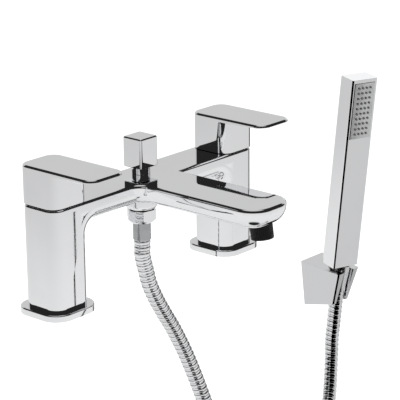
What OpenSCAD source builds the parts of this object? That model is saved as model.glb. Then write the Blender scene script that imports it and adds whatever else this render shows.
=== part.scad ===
// Bath shower mixer: two pillars, a bridge with a broad spout, lever handles, a pull-up
// diverter, and a shower set of ribbed hose, handset and wall bracket.
// The deck is the plane z = 0, the spout points to -Y and the hot side is at -X.

/* [Body] */
// Distance between the two pillar axes
pillar_pitch = 180; // [160:1:200]
// Side of the square pillars and depth of the bridge
pillar_w = 35; // [33:0.5:38]
// Height of the flat top above the deck
body_h = 80; // [76:1:95]
// Thickness of the bridge and the spout
bridge_t = 16.5; // [15.5:0.5:19]
// Radius of the upright pillar corners and of the rounded belly
edge_r = 10; // [6:0.5:10.5]
// Radius of the arch where a pillar runs into the bridge
arch_r = 8; // [4:0.5:12]

/* [Spout] */
// Width of the spout
spout_w = 44; // [38:1:48]
// Reach of the spout from the line of the pillars
spout_reach = 125.5; // [112:0.5:140]
// Radius of the spout's corners seen from above
tip_r = 17; // [14.5:0.5:18]
// Radius of the rounded underside of the spout, along its sides and its tip
rim_r = 14; // [10:0.5:14]
// Radius of the hollow corners between spout and bridge
root_r = 8; // [4:0.5:12]
// Diameter of the drilled waterways
waterway_d = 9; // [6:0.5:9]

/* [Base flanges] */
// Side of the square base flanges
flange_w = 45; // [42:0.5:50]
// Corner radius of the base flanges
flange_r = 14; // [8:0.5:18]
// Height of the base flanges
flange_h = 5; // [4:0.5:9]
// Diameter of the hole that the supply passes through
flange_bore = 27; // [26:0.5:28]

/* [Inlets and cartridges] */
// Core diameter of the threaded inlet sockets
inlet_d = 24.12; // [20:0.02:24.5]
// Depth of the threaded inlet sockets
inlet_depth = 16; // [12:0.5:18]
// Diameter of the cartridge housings
cartridge_d = 20.6; // [19:0.1:21]
// Depth of the cartridge chambers below the flat top
chamber_depth = 34; // [32:0.5:38]
// Diameter of the valve spindles
spindle_d = 8; // [6:0.1:9]
// Width across flats of the cartridge heads
head_af = 22; // [21:0.5:22.5]

/* [Handles] */
// Width of the lever blade at its top
lever_w = 35; // [33.5:0.5:38]
// Reach of the lever blade in front of the pillar axis
lever_reach = 54; // [45:1:65]
// Corner radius of the lever blade
lever_r = 9; // [4:0.5:12]
// Thickness of the blade's front edge
lever_edge = 2; // [1.5:0.1:3]
// Thickness of the blade where it leaves the block
lever_t = 3.4; // [3:0.1:5]
// Height of a handle
handle_h = 28; // [26:0.5:34]

/* [Diverter] */
// Side of the square knob
knob_w = 18.2; // [15:0.1:20]
// Height of the knob
knob_h = 22.4; // [18:0.2:26]
// Diameter of the round neck under the knob
neck_d = 14; // [13.2:0.2:15]
// Height of the neck above the flat top
neck_h = 5.2; // [3:0.2:8]
// Travel of the knob
diverter_travel = 6; // [4:0.5:6.5]
// Offset of the diverter and the shower outlet behind the pillar line
outlet_y = 1.5; // [0:0.5:2]

/* [Shower outlet] */
// Diameter of the boss under the bridge
boss_d = 24; // [22:0.5:26]
// Height of the boss under the belly
boss_h = 10.5; // [7:0.5:12]
// Width across flats of the hose nut
nut_af = 20; // [19.5:0.5:22]
// Height of the hose nut
nut_h = 10; // [9:0.5:12]
// Diameter of the satin collar
collar_d = 13.4; // [13:0.1:14]
// Length of the satin collar
collar_l = 13.5; // [12:0.5:20]

/* [Aerator] */
// Diameter of the aerator sleeve
aerator_d = 16.4; // [16:0.2:18]
// Length of the aerator sleeve
aerator_l = 18; // [16:0.5:20]
// Distance of the aerator from the tip of the spout
aerator_inset = 15; // [11:0.5:16]
// Forward tilt of the aerator
aerator_tilt = 8; // [0:1:10]

/* [Handset] */
// Width of the handset
handset_w = 26.5; // [25:0.5:32]
// Depth of the handset
handset_d = 17; // [16:0.5:22]
// Length of the handset
handset_l = 170; // [150:1:230]
// Wall of the handset
handset_wall = 1.8; // [1.4:0.1:2.2]
// Forward lean of the handset in its bracket
handset_lean = 6; // [3:0.5:8]
// Turn of the handset toward the spout
handset_turn = 16; // [0:1:40]
// Width of the spray plate
plate_w = 20.6; // [18:0.2:21]
// Height of the spray plate
plate_h = 48.8; // [44:0.4:56]
// Columns of nozzles
nozzle_cols = 4; // [3:1:4]
// Rows of nozzles
nozzle_rows = 10; // [6:1:10]

/* [Wall bracket] */
// Width of the bracket at its top
bracket_w = 30; // [28:0.5:36]
// Width of the bracket at its foot
bracket_foot_w = 19; // [18:0.5:24]
// Distance of the cradle axis from the wall
bracket_reach = 31; // [28:0.5:40]
// Distance of the cradle axis from the front of the prongs
prong_reach = 10; // [9.8:0.2:12]
// Height of the bracket at the wall
bracket_h = 42; // [38:0.5:50]
// Width of the slot that the hose passes through
slot_w = 13.4; // [13:0.1:14]

/* [Hose] */
// Diameter of the hose
hose_d = 12.5; // [11:0.1:12.6]
// Bore of the hose
hose_bore = 8; // [6:0.1:9]
// Pitch of the ribs
rib_pitch = 4.6; // [4.4:0.1:8]
// Depth of the grooves between ribs
rib_depth = 0.7; // [0.3:0.05:1]

/* [Hidden] */
$fn = 64;

// Working clearances
fit_gap = 0.1;
running_gap = 0.3;
handle_gap = 0.4;
over = 1;

// Levels of the body
under_z = body_h - bridge_t;
water_z = body_h - bridge_t / 2;
pillar_x = pillar_pitch / 2;
half_w = pillar_w / 2;

// Inlets, chambers and cartridges, from the deck upward
chamber_z = body_h - chamber_depth;
chamber_d = cartridge_d + 4 * fit_gap;
riser_d = 13;
seat_t = 2;
seat_d = cartridge_d - 4 * fit_gap;
disc_t = 3;
disc_d = cartridge_d - 3.6;
housing_bore = disc_d + 4 * fit_gap;
housing_z = chamber_z + seat_t;
housing_waist_d = cartridge_d - 1.4;
housing_ring = 4;
window_w = 7;
window_h = 8;
disc_z = housing_z;
moving_z = disc_z + disc_t + fit_gap;
driver_z = moving_z + disc_t;
driver_h = 3;
roof_gap = 12;
roof_z = driver_z + driver_h + roof_gap;
head_h = 6;
spindle_reach = 17;
spindle_top = body_h + handle_gap + spindle_reach;

// Handles
handle_z = body_h + handle_gap;
handle_top = handle_z + handle_h;
head_room = 1;
grub_d = 4;
grub_l = 8;
grub_key = 2;
grub_rise = 12;
grub_z = handle_z + grub_rise;

// Seals under the base flanges
flange_lip = 2.5;
flange_rim = 3;
seal_t = 1.5;

// Diverter, along its upright axis
chamber_r = neck_d / 2 - 0.6;
seat_z = under_z - 1.5;
seat_d_small = 8;
valve_t = 3;
stem_d = 6;
bush_l = 8;
knob_z = body_h + neck_h + handle_gap;
knob_edge = 1.8;
stem_in = 11;
stem_top = knob_z + stem_in;
ring_d = 1.4;
ring_z = body_h - 2;

// Shower outlet and the upper end of the hose
boss_z = under_z - boss_h;
boss_edge = 4;
nipple_d = 14;
nipple_in = 5.5;
nipple_thread_d = 16.6;
nipple_out = 8;
nipple_bore = 8;
nut_z = boss_z - nut_h - fit_gap;
nut_floor = 1;
nut_cone = 3;
nut_turn = -10;
washer_t = 0.8;
collar_z = nut_z - collar_l;

// Aerator, along its tilted axis
aerator_y = -spout_reach + aerator_inset;
aerator_top = water_z;
sleeve_wall = 1.2;
insert_t = 5;
jet_d = 1.6;
jet_rings = [[3, 6], [5.4, 12]];
washer_h = 1.5;

// Cradle frame: its origin is the foot of the handset's axis
handset_foot = [280, 29.5, -72];
wall_y = handset_foot[1] + bracket_reach;
bracket_gap = 4.2;
cone_top_d = 18.4;
cone_foot_d = 13.8;
cone_neck = 4;
cone_l = 17;
cone_skirt = 4;
cone_end = cone_neck + cone_l + cone_skirt;
cone_lid = 0.6;
spigot_d = 14;
spigot_l = 11;
spigot_in = 6;
spigot_bore = 8;
swivel_d = 11;
swivel_bore = 8;
swivel_flange_d = 13.2;
swivel_flange_t = 1.5;

// Handset and spray plate
handset_edge = 1.7;
handset_floor = 6;
handset_lid = 2.5;
plate_margin = 3.2;
plate_proud = 0.6;
plate_ledge = 1;
plate_seat = 0.9;
membrane_t = 1.2;
nozzle_d = 1.8;
nozzle_tip = 0.7;
nozzle_pitch_x = 3.9;
nozzle_pitch_z = 4.5;

// Bracket
bracket_front_drop = 31;
bracket_front_back = 8.5;
wall_plate_w = 15;
wall_plate_h = 24;
wall_plate_t = 4.5;
wall_plate_drop = 21;
wall_hole_d = 4.2;
wall_hole_pitch = 14;
lock_d = 3;
lock_l = 10;

// Hose routes: points chosen by hand, then a coil turned by formula
floor_z = -235;
lay_z = floor_z + hose_d / 2;
tube_sides = 8;
loop_sides = 6;
loop_rings = 24;
samples = 10;
coil_center = [190, -111.5];
coil_r = 81.5;
coil_turns = 690 / 360;
coil_pitch = hose_d + 1;
coil_layer = hose_d + 0.7;
coil_climb = 0.5;
coil_tail = 360 * coil_turns;
tie_turn = (coil_turns - 1) / 2;
tie_t = 1.2;
tie_w = 8;

straight_l = 13;
coil_start = [coil_center[0] - hose_d, coil_center[1] + coil_r, lay_z];
drop_route = [
  [0, outlet_y, collar_z], [0, outlet_y, collar_z - straight_l / 2], [0, outlet_y, collar_z - straight_l],
  [3, 1.5, 5], [7, 1.5, -8], [14, 1.5, -22], [22, 1.5, -35], [33, 1.5, -52], [44, 0.5, -73],
  [53, -2, -96], [60, -6, -120], [66, -11, -144], [73, -17, -168], [83, -23, -190], [99, -27.5, -209],
  [121, -30, -222.5], [145, -30, lay_z], [161, -30, lay_z], coil_start
];
rise_route = concat(
  [coil_end(hose_d), coil_end(2 * hose_d)],
  [[188, -18, -215.5], [204, -9, -215.5], [218, 0, -215.5], [230, 7, -214], [242, 14, -210]],
  [[252, 20.5, -203.5], [262, 26, -194], [269.5, 30.5, -183.5], [275, 34, -171], [279, 36.5, -157.5]],
  [for (s = [72, 61, 49, 37, cone_end + running_gap]) cradle_point(s)]
);

function cradle_point(s) = handset_foot + s * [0, sin(handset_lean), -cos(handset_lean)];

// Coil: spirals in on the floor, climbs a layer, and spirals out again
function coil_radius(t) = coil_r - coil_pitch * min(t, coil_turns - t);
function coil_lift(t) =
  let (u = (t - coil_turns / 2) / coil_climb + 0.5)
  coil_layer * (u <= 0 ? 0 : u >= 1 ? 1 : u * u * (3 - 2 * u));
function coil_point(t) = [
  coil_center[0] + coil_radius(t) * sin(360 * t),
  coil_center[1] + coil_radius(t) * cos(360 * t),
  lay_z + coil_lift(t)
];
function coil_end(s) =
  coil_point(coil_turns) + s * [cos(coil_tail), -sin(coil_tail), 0];
coil_steps = ceil(loop_rings * coil_turns);
coil_route = concat(
  [coil_start],
  [for (i = [0 : coil_steps]) coil_point(coil_turns * i / coil_steps)],
  [coil_end(hose_d)]
);

// Least gap between turns of the coil, measured on points more than half a turn apart
coil_probe = [for (i = [0 : 4 * coil_steps]) coil_point(coil_turns * i / (4 * coil_steps))];
coil_gap = min([
  for (i = [0 : len(coil_probe) - 1], j = [i + 2 * loop_rings : 1 : len(coil_probe) - 1])
    norm(coil_probe[i] - coil_probe[j])
]) - hose_d;
echo(coil_gap = coil_gap);

// Curve helpers
function spline(p, i, t) =
  let (
    a = p[max(i - 1, 0)], b = p[i], c = p[i + 1], d = p[min(i + 2, len(p) - 1)],
    u = (i == 0) ? c - b : (c - a) / 2,
    v = (i == len(p) - 2) ? c - b : (d - b) / 2
  )
  (2 * t ^ 3 - 3 * t ^ 2 + 1) * b + (t ^ 3 - 2 * t ^ 2 + t) * u + (3 * t ^ 2 - 2 * t ^ 3) * c + (t ^ 3 - t ^ 2) * v;
function smooth(p) = concat(
  [for (i = [0 : len(p) - 2], k = [0 : samples - 1]) spline(p, i, k / samples)], [p[len(p) - 1]]
);
function runs(p) = [for (i = 0, s = 0; i < len(p); s = i < len(p) - 1 ? s + norm(p[i + 1] - p[i]) : s, i = i + 1) s];
function along(p, s, at) =
  [for (k = [0 : 2]) lookup(at, [for (i = [0 : len(p) - 1]) [s[i], p[i][k]]])];
function unit(v) = v / norm(v);
function heading(p, i) = unit(p[min(i + 1, len(p) - 1)] - p[max(i - 1, 0)]);
function ring(center, dir, side, r, n) =
  let (u = unit(cross(dir, side)), v = cross(dir, u))
  [for (k = [0 : n - 1]) center + r * (cos(360 * k / n) * u + sin(360 * k / n) * v)];
hose_length = run_length(smooth(drop_route)) + run_length(coil_route) + run_length(smooth(rise_route));
function run_length(p) = let (s = runs(p)) s[len(s) - 1];
echo(hose_length = hose_length);

// Outline helpers
module soft_square(w, d, r) {
  square([w, d - 2 * r], center = true);
  square([w - 2 * r, d], center = true);
  for (x = [-1, 1], y = [-1, 1])
    translate([x * (w / 2 - r), y * (d / 2 - r)]) circle(r);
}

module belly(w, r) {
  intersection() {
    translate([-w / 2, -bridge_t]) square([w, bridge_t]);
    union() {
      translate([-w / 2, r - bridge_t]) square([w, bridge_t]);
      translate([r - w / 2, -bridge_t]) square([w - 2 * r, bridge_t]);
      for (x = [-1, 1])
        translate([x * (w / 2 - r), r - bridge_t]) circle(r);
    }
  }
}

module at_pillar(side) {
  translate([side * pillar_x, 0, 0]) children();
}

module at_outlet(z) {
  translate([0, outlet_y, z]) children();
}

module at_aerator() {
  translate([0, aerator_y, aerator_top]) rotate([-aerator_tilt, 0, 0]) children();
}

module at_cradle() {
  translate(handset_foot) rotate([handset_lean, 0, 0]) children();
}

module at_handset() {
  at_cradle() rotate([0, 0, -handset_turn]) children();
}

module tube(d, bore, h) {
  difference() {
    cylinder(d = d, h = h);
    translate([0, 0, -over]) cylinder(d = bore, h = h + 2 * over);
  }
}

module hexagon(af, h) {
  cylinder(d = af / cos(30), h = h, $fn = 6);
}

// Swept tube with a bore: outer rings and inner rings, closed by flat ends
module swept(outer, inner, n) {
  no = len(outer);
  ni = len(inner);
  points = concat([for (r = outer) each r], [for (r = inner) each r]);
  function o(i, k) = i * n + k % n;
  function b(i, k) = no * n + i * n + k % n;
  walls = [for (i = [0 : no - 2], k = [0 : n - 1])
    each [[o(i, k), o(i + 1, k), o(i + 1, k + 1)], [o(i, k), o(i + 1, k + 1), o(i, k + 1)]]];
  bores = [for (i = [0 : ni - 2], k = [0 : n - 1])
    each [[b(i, k), b(i + 1, k + 1), b(i + 1, k)], [b(i, k), b(i, k + 1), b(i + 1, k + 1)]]];
  first = [for (k = [0 : n - 1])
    each [[o(0, k), o(0, k + 1), b(0, k + 1)], [o(0, k), b(0, k + 1), b(0, k)]]];
  last = [for (k = [0 : n - 1])
    each [[o(no - 1, k), b(ni - 1, k + 1), o(no - 1, k + 1)], [o(no - 1, k), b(ni - 1, k), b(ni - 1, k + 1)]]];
  polyhedron(points, concat(walls, bores, first, last));
}

// Ribbed hose along a route: a crest and a groove for each rib
module ribbed(route, side) {
  path = smooth(route);
  s = runs(path);
  total = s[len(s) - 1];
  ribs = round(total / rib_pitch);
  spots = [for (i = [0 : 2 * ribs]) along(path, s, total * i / (2 * ribs))];
  outer = [for (i = [0 : 2 * ribs])
    ring(spots[i], heading(spots, i), side, hose_d / 2 - (i % 2 == 1 ? rib_depth : 0), tube_sides)];
  inner = [for (i = [0 : 4 : 2 * ribs])
    ring(spots[i], heading(spots, i), side, hose_bore / 2, tube_sides)];
  ends = (2 * ribs) % 4 == 0 ? [] : [ring(spots[2 * ribs], heading(spots, 2 * ribs), side, hose_bore / 2, tube_sides)];
  swept(outer, concat(inner, ends), tube_sides);
}

// Body casting
// Section of the spout's tip, from the corner's axis out to its rounded rim
module tip_section() {
  intersection() {
    square([tip_r, bridge_t]);
    union() {
      square([tip_r - rim_r, bridge_t]);
      translate([0, rim_r]) square([tip_r, bridge_t - rim_r]);
      translate([tip_r - rim_r, rim_r]) circle(rim_r);
    }
  }
}

module spout_solid() {
  tip_y = tip_r - spout_reach;
  corner_x = spout_w / 2 - tip_r;
  translate([0, 0, body_h]) rotate([90, 0, 0]) linear_extrude(-tip_y) belly(spout_w, rim_r);
  for (flip = [0, 1]) mirror([flip, 0, 0])
    translate([corner_x, tip_y, under_z]) rotate([0, 0, -90]) rotate_extrude(angle = 90) tip_section();
  translate([-corner_x, tip_y, under_z]) rotate([90, 0, -90]) mirror([0, 0, 1])
    linear_extrude(2 * corner_x) tip_section();
}

// Section of the hollow corners beside the spout: a wall with the spout's rounded rim
module corner_section() {
  intersection() {
    translate([root_r, 0]) square([rim_r, bridge_t]);
    union() {
      translate([root_r, rim_r]) square([rim_r, bridge_t]);
      translate([root_r + rim_r, rim_r]) circle(rim_r);
    }
  }
}

module root_corner() {
  translate([spout_w / 2 + root_r, -half_w - root_r, under_z])
    rotate([0, 0, 90]) rotate_extrude(angle = 90) corner_section();
}

module arch_section() {
  intersection() {
    translate([arch_r, -half_w]) square([edge_r + over, pillar_w]);
    union() {
      translate([arch_r, edge_r - half_w]) square([edge_r + over, pillar_w - 2 * edge_r]);
      translate([arch_r + edge_r, -half_w]) square([edge_r, pillar_w]);
      for (y = [-1, 1]) translate([arch_r + edge_r, y * (half_w - edge_r)]) circle(edge_r);
    }
  }
}

module arch_corner() {
  translate([pillar_x - half_w - arch_r, 0, under_z - arch_r])
    rotate([90, 0, 0]) rotate_extrude(angle = 90) arch_section();
}

module body_shell() {
  for (side = [-1, 1])
    at_pillar(side) translate([0, 0, flange_h])
      linear_extrude(body_h - flange_h) soft_square(pillar_w, pillar_w, edge_r);
  translate([-pillar_x, 0, body_h]) rotate([90, 0, 90]) linear_extrude(pillar_pitch) belly(pillar_w, edge_r);
  spout_solid();
  for (flip = [0, 1]) mirror([flip, 0, 0]) {
    root_corner();
    arch_corner();
  }
  at_outlet(boss_z) rotate_extrude() {
    translate([0, boss_edge]) square([boss_d / 2, boss_h]);
    square([boss_d / 2 - boss_edge, boss_h]);
    translate([boss_d / 2 - boss_edge, boss_edge]) circle(boss_edge);
  }
}

module pillar_bores() {
  translate([0, 0, flange_h - over]) cylinder(d = inlet_d, h = inlet_depth + over);
  translate([0, 0, flange_h]) cylinder(d = riser_d, h = chamber_z - flange_h + over);
  translate([0, 0, chamber_z]) cylinder(d = chamber_d, h = chamber_depth + over);
}

module outlet_bores() {
  at_outlet(boss_z - over) cylinder(d = nipple_d + 2 * fit_gap, h = nipple_in + over);
  at_outlet(boss_z) cylinder(d = seat_d_small, h = boss_h);
  at_outlet(seat_z) cylinder(r = chamber_r, h = body_h - seat_z + over);
}

module mixer_body() {
  color("gainsboro") difference() {
    body_shell();
    for (side = [-1, 1]) at_pillar(side) pillar_bores();
    outlet_bores();
    translate([-pillar_x, 0, water_z]) rotate([0, 90, 0]) cylinder(d = waterway_d, h = pillar_pitch);
    translate([0, 0, water_z]) rotate([90, 0, 0]) cylinder(d = waterway_d, h = -aerator_y);
    at_aerator() translate([0, 0, -bridge_t]) cylinder(d = aerator_d + 2 * fit_gap, h = bridge_t + washer_h);
  }
}

// Base flanges and their seals
module flange(side) {
  color("gainsboro") at_pillar(side) difference() {
    linear_extrude(flange_h) soft_square(flange_w, flange_w, flange_r);
    translate([0, 0, -over]) cylinder(d = flange_bore, h = flange_h + 2 * over);
    translate([0, 0, -over]) difference() {
      linear_extrude(seal_t + over)
        soft_square(flange_w - 2 * flange_rim, flange_w - 2 * flange_rim, flange_r - flange_rim);
      cylinder(d = flange_bore + 2 * flange_lip, h = seal_t + over);
    }
  }
}

module flange_seal(side) {
  seal_w = flange_w - 2 * flange_rim - 2 * fit_gap;
  color("dimgray") at_pillar(side) difference() {
    linear_extrude(seal_t) soft_square(seal_w, seal_w, flange_r - flange_rim);
    translate([0, 0, -over])
      cylinder(d = flange_bore + 2 * flange_lip + 2 * fit_gap, h = seal_t + 2 * over);
  }
}

// Quarter-turn cartridges
module seat_seal(side) {
  color("dimgray") at_pillar(side) translate([0, 0, chamber_z]) tube(seat_d, riser_d, seat_t);
}

module half_disc(side, z) {
  color("ivory") at_pillar(side) translate([0, 0, z]) difference() {
    cylinder(d = disc_d, h = disc_t);
    for (a = [0, 180]) rotate([0, 0, a]) translate([disc_d / 4, 0, -over])
      cylinder(d = disc_d / 4, h = disc_t + 2 * over);
  }
}

module cartridge(side) {
  color("goldenrod") at_pillar(side) difference() {
    union() {
      translate([0, 0, housing_z]) cylinder(d = cartridge_d, h = housing_ring);
      translate([0, 0, housing_z]) cylinder(d = housing_waist_d, h = body_h - housing_z);
      translate([0, 0, body_h - housing_ring]) cylinder(d = cartridge_d, h = housing_ring);
      translate([0, 0, body_h]) hexagon(head_af, head_h);
    }
    translate([0, 0, housing_z - over]) cylinder(d = housing_bore, h = roof_z - housing_z + over);
    translate([0, 0, housing_z]) cylinder(d = spindle_d + 2 * fit_gap, h = body_h + head_h);
    for (a = [0, 90])
      translate([0, 0, driver_z + window_h / 2 + driver_h]) rotate([0, 0, a])
        cube([cartridge_d, window_w, window_h], center = true);
  }
}

module spindle(side) {
  color("goldenrod") at_pillar(side) {
    translate([0, 0, driver_z]) cylinder(d = disc_d, h = driver_h);
    translate([0, 0, driver_z]) cylinder(d = spindle_d, h = spindle_top - driver_z);
  }
}

// Lever handles
module lever_plan() {
  length = lever_reach + lever_w / 2;
  translate([0, lever_w / 2 - length / 2]) soft_square(lever_w, length, lever_r);
}

module lever_side() {
  polygon([
    [lever_w / 2, handle_top], [lever_w / 2, handle_top - lever_t], [-lever_w / 2, handle_top - lever_t],
    [-lever_reach, handle_top - lever_edge], [-lever_reach, handle_top]
  ]);
}

module handle(side) {
  color("gainsboro") at_pillar(side) difference() {
    union() {
      translate([0, 0, handle_z]) linear_extrude(handle_h - lever_t) soft_square(lever_w, lever_w, lever_r);
      intersection() {
        linear_extrude(handle_top) lever_plan();
        translate([-lever_w, 0, 0]) rotate([90, 0, 90]) linear_extrude(2 * lever_w) lever_side();
      }
    }
    translate([0, 0, body_h]) cylinder(d = head_af / cos(30) + head_room, h = head_h + head_room);
    translate([0, 0, body_h]) cylinder(d = spindle_d + fit_gap, h = spindle_top + fit_gap - body_h);
    translate([0, 0, grub_z]) rotate([-90, 0, 0]) cylinder(d = grub_d + fit_gap, h = lever_w);
  }
}

module grub_screw(side) {
  color("dimgray") at_pillar(side)
    translate([0, spindle_d / 2 + fit_gap, grub_z]) rotate([-90, 0, 0]) difference() {
      cylinder(d = grub_d, h = grub_l);
      translate([0, 0, grub_l / 2]) hexagon(grub_key, grub_l);
    }
}

// Diverter
module diverter_bush() {
  color("gainsboro") at_outlet(0) difference() {
    union() {
      translate([0, 0, body_h]) cylinder(d = neck_d, h = neck_h);
      translate([0, 0, body_h - bush_l]) cylinder(r = chamber_r - fit_gap, h = bush_l);
    }
    translate([0, 0, body_h - bush_l - over])
      cylinder(d = stem_d + 2 * fit_gap, h = bush_l + neck_h + 2 * over);
    translate([0, 0, ring_z - ring_d / 2]) cylinder(d = stem_d + 2 * ring_d + 4 * fit_gap, h = ring_d);
  }
}

module diverter_seal() {
  color("dimgray") at_outlet(ring_z) rotate_extrude()
    translate([stem_d / 2 + ring_d / 2 + fit_gap, 0]) circle(d = ring_d);
}

module diverter_spindle() {
  color("goldenrod") at_outlet(seat_z + fit_gap + valve_t)
    cylinder(d = stem_d, h = stem_top - seat_z - fit_gap - valve_t);
}

module diverter_washer() {
  color("dimgray") at_outlet(seat_z + fit_gap) cylinder(r = chamber_r - running_gap, h = valve_t);
}

module diverter_knob() {
  color("gainsboro") at_outlet(knob_z) difference() {
    linear_extrude(knob_h) soft_square(knob_w, knob_w, knob_edge);
    translate([0, 0, -over]) cylinder(d = stem_d + fit_gap, h = stem_top - knob_z + over);
  }
}

// Aerator
module aerator_housing() {
  color("dimgray") at_aerator() translate([0, 0, -aerator_l])
    tube(aerator_d, aerator_d - 2 * sleeve_wall, aerator_l);
}

module aerator_insert() {
  color("black") at_aerator() translate([0, 0, over - aerator_l]) difference() {
    cylinder(d = aerator_d - 2 * sleeve_wall - fit_gap, h = insert_t);
    translate([0, 0, -over]) cylinder(d = jet_d, h = insert_t + 2 * over);
    for (row = jet_rings, i = [0 : row[1] - 1])
      rotate([0, 0, 360 * i / row[1]]) translate([row[0], 0, -over])
        cylinder(d = jet_d, h = insert_t + 2 * over);
  }
}

module aerator_seal() {
  color("dimgray") at_aerator() tube(aerator_d, aerator_d - 3 * sleeve_wall, washer_h);
}

// Shower outlet and the upper end of the hose
module outlet_nipple() {
  color("goldenrod") at_outlet(boss_z - nipple_out) difference() {
    union() {
      cylinder(d = nipple_thread_d, h = nipple_out);
      cylinder(d = nipple_d, h = nipple_out + nipple_in);
    }
    translate([0, 0, -over]) cylinder(d = nipple_bore, h = nipple_out + nipple_in + 2 * over);
  }
}

module hose_washer() {
  color("dimgray") at_outlet(boss_z - nipple_out - washer_t) tube(nipple_thread_d - running_gap, nipple_bore, washer_t);
}

module hose_nut() {
  bottom_r = nut_af / 2 - nut_cone / 2;
  color("gainsboro") at_outlet(nut_z) difference() {
    intersection() {
      rotate([0, 0, nut_turn]) hexagon(nut_af, nut_h);
      cylinder(r1 = bottom_r, r2 = bottom_r + nut_h, h = nut_h);
    }
    translate([0, 0, nut_h - nipple_out - washer_t + fit_gap]) cylinder(d = nipple_thread_d + 2 * fit_gap, h = nut_h);
    translate([0, 0, -over]) cylinder(d = nipple_bore, h = nut_h);
  }
}

module hose_collar() {
  color("darkgray") at_outlet(collar_z) tube(collar_d, hose_bore, collar_l);
}

// Hose
module hose_drop() {
  color("silver") ribbed(drop_route, [0, 1, 0]);
}

module hose_rise() {
  color("silver") ribbed(rise_route, unit(cross(coil_end(1) - coil_end(0), [0, 0, 1])));
}

module hose_coil() {
  last = len(coil_route) - 1;
  color("silver") swept(
    [for (i = [0 : last]) ring(coil_route[i], heading(coil_route, i), [0, 0, 1], hose_d / 2, loop_sides)],
    [for (i = [0 : last]) ring(coil_route[i], heading(coil_route, i), [0, 0, 1], hose_bore / 2, loop_sides)],
    loop_sides
  );
}

module hose_tie() {
  spot = coil_point(tie_turn);
  inner_w = hose_d + 4 * running_gap;
  inner_h = hose_d + coil_layer + 4 * running_gap;
  soft = hose_d / 3;
  color("dimgray") translate([spot[0], spot[1], lay_z + coil_layer / 2])
    rotate([0, 0, -360 * tie_turn]) rotate([90, 0, 90]) translate([0, 0, -tie_w / 2]) linear_extrude(tie_w)
      difference() {
        soft_square(inner_w + 2 * tie_t, inner_h + 2 * tie_t, soft);
        soft_square(inner_w, inner_h, soft - tie_t);
      }
}

// Lower end of the hose and the handset
module cone_nut() {
  color("gainsboro") at_cradle() difference() {
    rotate_extrude() polygon([
      [0, -cone_end], [cone_foot_d / 2, -cone_end], [cone_foot_d / 2, -cone_end + cone_skirt],
      [cone_top_d / 2, -cone_neck], [cone_top_d / 2, -cone_lid], [0, -cone_lid]
    ]);
    translate([0, 0, -cone_end - over]) cylinder(d = swivel_d + 2 * fit_gap, h = cone_end);
    translate([0, 0, -spigot_l - washer_h - swivel_flange_t - fit_gap]) cylinder(d = spigot_d + fit_gap, h = cone_end);
  }
}

module hose_swivel() {
  top = -spigot_l - washer_h;
  color("goldenrod") at_cradle() difference() {
    union() {
      translate([0, 0, -cone_end]) cylinder(d = swivel_d, h = cone_end + top);
      translate([0, 0, top - swivel_flange_t]) cylinder(d = swivel_flange_d, h = swivel_flange_t - fit_gap);
    }
    translate([0, 0, -cone_end - over]) cylinder(d = swivel_bore, h = cone_end + over);
  }
}

module cone_washer() {
  color("dimgray") at_cradle() translate([0, 0, -spigot_l - washer_h + fit_gap])
    tube(swivel_flange_d, spigot_bore, washer_h - fit_gap);
}

module handset_spigot() {
  color("goldenrod") at_cradle() translate([0, 0, -spigot_l]) tube(spigot_d, spigot_bore, spigot_l + spigot_in);
}

module plate_window(margin, depth) {
  translate([0, -handset_d / 2 - over, handset_l - plate_margin - plate_h / 2])
    rotate([-90, 0, 0]) linear_extrude(depth + over)
      square([plate_w - 2 * margin, plate_h - 2 * margin], center = true);
}

module handset_body() {
  inner_w = handset_w - 2 * handset_wall;
  inner_d = handset_d - 2 * handset_wall;
  color("gainsboro") at_handset() difference() {
    linear_extrude(handset_l) soft_square(handset_w, handset_d, handset_edge);
    translate([-inner_w / 2, -inner_d / 2, handset_floor])
      cube([inner_w, inner_d, handset_l - handset_floor - handset_lid]);
    translate([0, 0, -over]) cylinder(d = spigot_d, h = handset_floor + 2 * over);
    plate_window(-fit_gap, plate_seat);
    plate_window(plate_ledge, handset_wall + over);
  }
}

module nozzle_grid() {
  for (i = [0 : nozzle_cols - 1], j = [0 : nozzle_rows - 1])
    translate([
      (i - (nozzle_cols - 1) / 2) * nozzle_pitch_x,
      0,
      handset_l - plate_margin - plate_h / 2 + (j - (nozzle_rows - 1) / 2) * nozzle_pitch_z
    ]) rotate([90, 0, 0]) children();
}

module spray_plate() {
  color("silver") at_handset() difference() {
    translate([-plate_w / 2, -handset_d / 2 - plate_proud, handset_l - plate_margin - plate_h])
      cube([plate_w, plate_proud + plate_seat, plate_h]);
    nozzle_grid() cylinder(d = nozzle_d + 2 * fit_gap, h = handset_d);
  }
}

module spray_nozzles() {
  inset = plate_ledge + fit_gap;
  back_y = -handset_d / 2 + plate_seat;
  color("dimgray") at_handset() {
    translate([inset - plate_w / 2, back_y, handset_l - plate_margin - plate_h + inset])
      cube([plate_w - 2 * inset, membrane_t, plate_h - 2 * inset]);
    nozzle_grid() translate([0, 0, -back_y - membrane_t / 2])
      cylinder(d = nozzle_d, h = plate_seat + plate_proud + nozzle_tip + membrane_t / 2);
  }
}

// Wall bracket
module bracket_side() {
  foot_y = handset_foot[1];
  top = [foot_y, handset_foot[2] - bracket_gap * cos(handset_lean)];
  rise = tan(handset_lean);
  polygon([
    top + bracket_reach * [1, rise],
    top - prong_reach * [1, rise],
    top + [bracket_front_back - prong_reach, -bracket_front_drop],
    top + [bracket_reach, bracket_reach * rise - bracket_h]
  ]);
}

module bracket_front() {
  top = handset_foot[2] - bracket_gap + bracket_reach * tan(handset_lean);
  polygon([
    [-bracket_w / 2, top], [bracket_w / 2, top],
    [bracket_foot_w / 2, top - bracket_h - over], [-bracket_foot_w / 2, top - bracket_h - over]
  ]);
}

module at_wall_plate() {
  translate([handset_foot[0], wall_y, handset_foot[2] - wall_plate_drop]) children();
}

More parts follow.
